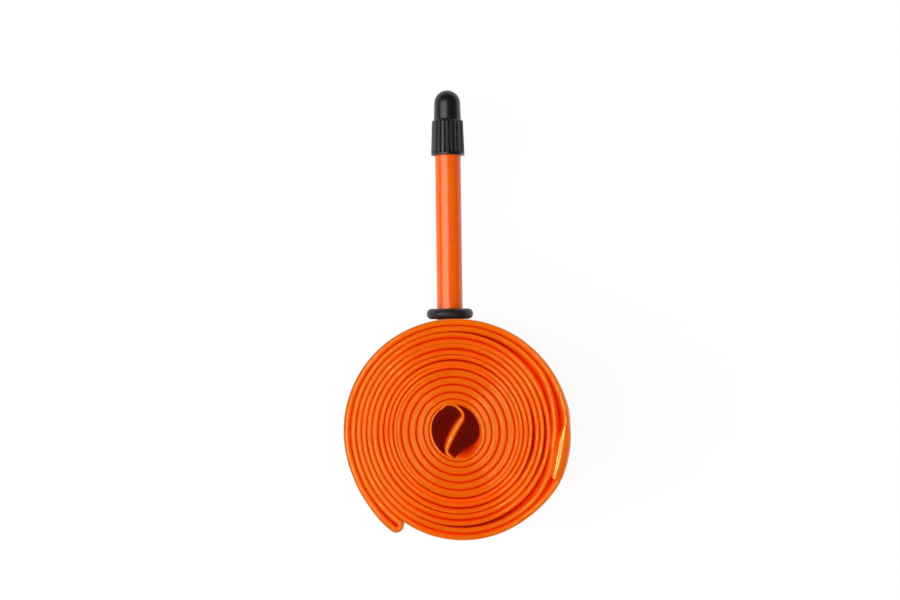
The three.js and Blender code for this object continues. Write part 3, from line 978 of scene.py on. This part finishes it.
# The lock nut: a small round nut with straight knurls between two chamfers
def makeNut():
    low, high, outside = spanOf("lock_nut")
    inside, chamfer = nut["bore"], nut["chamfer"]
    mouthWide, mouthDeep = nut["mouth"]
    corners = [
        (inside, low), (outside - chamfer, low), (outside, low + chamfer), (outside, high - chamfer),
        (outside - chamfer, high), (inside + mouthWide, high), (inside, high - mouthDeep),
    ]

    def relief(r, height, angle):
        knurled = smooth(r, outside - 0.35, outside - 0.05)
        return -nut["depth"] * np.abs(np.sin(nut["knurls"] * angle / 2)) * knurled

    made = turnedPiece("lockNut", divided(rounded(corners, 0.1), 0.15), nut["sides"], relief)
    return finishPiece(made, "core_nut", ["lock_nut"], nickel)


makeBarrel()
makeGasket()
makePin()
makeSeal()
makeNut()
print("valve core made")

cap = {
    "rimRadius": 3.9, "shoulderRadius": 3.62, "shoulder": 8.1, "domeBase": 3.16, "domeRadius": 3.03,
    "skirtBore": 3.25, "domeBore": 2.65, "boreStep": 7.2, "roof": 0.95,
    "ribs": 21, "grooveDepth": 0.42, "grooveShare": 0.25, "lip": 0.5, "ribTop": 0.3, "sidesPerRib": 14,
    "threadEnds": (0.8, 0.4), "pitch": 0.8, "threadDepth": 0.16,
}


# The dust cap: a domed thimble with a wider ribbed skirt. Grooves between the ribs are parabolas in the
# angle, and fade out at the rim's lip and at the shoulder. The dome is a quarter circle.
def makeCap():
    rim, top = spanOf("dust_cap")[:2]
    lip = rim + cap["lip"]
    shoulder = rim + cap["shoulder"]
    equator = top - cap["domeRadius"]
    boreEnd = rim + cap["boreStep"]
    threadLow, threadHigh = rim + cap["threadEnds"][0], boreEnd - cap["threadEnds"][1]
    inside = [
        (0, top - cap["roof"]), (1.5, top - cap["roof"] - 0.25), (cap["domeBore"], equator - 0.2),
        (cap["domeBore"], boreEnd + 0.5), (cap["skirtBore"], boreEnd),
        (cap["skirtBore"], rim + 0.35), (cap["skirtBore"] + 0.2, rim),
    ]
    skirt = [
        (cap["rimRadius"] - 0.08, rim), (cap["rimRadius"], rim + 0.18), (cap["rimRadius"] - 0.02, rim + 0.5),
        (cap["shoulderRadius"], shoulder - 0.12), (cap["shoulderRadius"] - 0.16, shoulder),
        (cap["domeBase"] + 0.06, shoulder + 0.1), (cap["domeBase"], shoulder + 0.35),
        (cap["domeRadius"], equator),
    ]
    rise = np.linspace(0, math.pi / 2, 17)[1:]
    dome = np.stack([cap["domeRadius"] * np.cos(rise), equator + cap["domeRadius"] * np.sin(rise)], axis=1)
    dome[-1, 0] = 0
    outline = rounded(inside + skirt, 0.1, 3, closed=False)
    profile = divided(np.vstack([outline, dome]), 0.3, closed=False)

    def relief(r, height, angle):
        share = (angle * cap["ribs"] / turn) % 1
        groove = np.clip(1 - ((share - 0.5) / cap["grooveShare"]) ** 2, 0, 1)
        ribbed = plateau(height, lip, lip + 0.3, shoulder - cap["ribTop"] - 0.05, shoulder + 0.1)
        outer = r > cap["skirtBore"] + 0.15
        inner = (np.abs(r - cap["skirtBore"]) < 0.03) & (height < boreEnd - 0.2)
        thread = threadRelief(height, angle, threadLow, threadHigh, cap["pitch"], cap["threadDepth"])
        return -cap["grooveDepth"] * groove * ribbed * outer + thread * inner

    made = turnedPiece("dustCap", profile, cap["ribs"] * cap["sidesPerRib"], relief, closed=False)
    return finishPiece(made, "cap", ["dust_cap"], plastic)


makeCap()
print("cap made")

studio = {
    "floorSize": 3.0, "floorDrop": 1e-4, "floorGlow": 0.9, "world": 0.05, "height": 0.62,  # in metres
    "leftRadiance": 4.0, "leftX": (-1.25, -0.07), "leftY": (-0.32, 0.22),
    "stripRadiance": 84, "stripInner": 0.18, "stripOuter": 0.35, "stripY": (-0.34, 0.3),
    "fillX": (-0.2, 0.9), "fillY": (-0.45, 0.45), "fillRadiance": 0.9,
    "filmX": (-0.45, 0.45), "filmRadiance": 2.05,
}


# A white floor that is lit from inside, so that the shadow on it stays faint
def makeFloor():
    size = studio["floorSize"] / 2
    low = -studio["floorDrop"]
    corners = [(-size, -size, low), (size, -size, low), (size, size, low), (-size, size, low)]
    mesh = bpy.data.meshes.new("floor")
    mesh.from_pydata(corners, [], [(0, 1, 2, 3)])
    floor = bpy.data.objects.new("floor", mesh)
    bpy.context.scene.collection.objects.link(floor)
    finish = Finish("paleFloor")
    cloud = finish.noise(finish.place(), 3.0, 2.0)
    colour = finish.mixed(cloud, (0.1, 0.1, 0.1), (0.12, 0.12, 0.12))
    mesh.materials.append(finish.shaded(
        Base_Color=colour, Roughness=0.9, Emission_Color=(1, 1, 1, 1), Emission_Strength=studio["floorGlow"],
        Specular_IOR_Level=0.0,
    ))


# A flat rectangular softbox that shines straight down. Its power is radiance times area times pi.
def softbox(name, spanX, spanY, radiance):
    light = bpy.data.lights.new(name, "AREA")
    light.shape = "RECTANGLE"
    light.size = spanX[1] - spanX[0]
    light.size_y = spanY[1] - spanY[0]
    light.energy = radiance * math.pi * light.size * light.size_y
    made = bpy.data.objects.new(name, light)
    made.location = (sum(spanX) / 2 + valve["x"] * mm, sum(spanY) / 2, studio["height"])
    made.visible_camera = False
    bpy.context.scene.collection.objects.link(made)
    return made


# A faint white light from all around
def makeWorld():
    world = bpy.data.worlds.new("softWhite")
    world.use_nodes = True
    background = world.node_tree.nodes["Background"]
    background.inputs["Color"].default_value = (1, 1, 1, 1)
    background.inputs["Strength"].default_value = studio["world"]
    bpy.context.scene.world = world
    bpy.context.scene.view_settings.view_transform = "Standard"


# The valve and the floor have a broad softbox on the left and a fill that shows in no reflection. The film
# has a fill of its own, and two strips that only draw thin lines of light along its folds.
def makeLights():
    filmPieces = bpy.data.collections.new("filmPieces")
    otherPieces = bpy.data.collections.new("otherPieces")
    for made in bpy.context.scene.objects:
        if made.type == "MESH":
            onFilm = made.name in ("rolledFilm", "weldedSplice")
            (filmPieces if onFilm else otherPieces).objects.link(made)
    left = softbox("leftSoftbox", studio["leftX"], studio["leftY"], studio["leftRadiance"])
    fill = softbox("fill", studio["fillX"], studio["fillY"], studio["fillRadiance"])
    inner, outer = studio["stripInner"], studio["stripOuter"]
    filmFill = softbox("filmFill", studio["filmX"], studio["fillY"], studio["filmRadiance"])
    strips = [
        softbox("leftStrip", (-outer, -inner), studio["stripY"], studio["stripRadiance"]),
        softbox("rightStrip", (inner, outer), studio["stripY"], studio["stripRadiance"]),
    ]
    for light in (left, fill):
        light.light_linking.receiver_collection = otherPieces
    for light in (filmFill, *strips):
        light.light_linking.receiver_collection = filmPieces
    for light in (fill, filmFill):
        light.visible_glossy = False
    for strip in strips:
        strip.visible_diffuse = False


makeFloor()
makeWorld()
makeLights()

view = {
    "distance": 415,  # above the valve's axis
    "lens": 71.2, "sensor": 36, "aside": 0.061, "beyondFoot": 5.667, "roll": -0.75,
}


# The camera looks straight down, over the stem's foot
def makeCamera():
    data = bpy.data.cameras.new("camera")
    data.lens = view["lens"]
    data.sensor_width = view["sensor"]
    data.clip_start = 0.01
    camera = bpy.data.objects.new("camera", data)
    x = valve["x"] + view["aside"]
    y = valve["foot"] + view["beyondFoot"]
    camera.location = (x * mm, y * mm, (valve["z"] + view["distance"]) * mm)
    camera.rotation_euler = (0, 0, math.radians(view["roll"]))
    bpy.context.scene.collection.objects.link(camera)
    bpy.context.scene.camera = camera


makeCamera()
print("stage made")
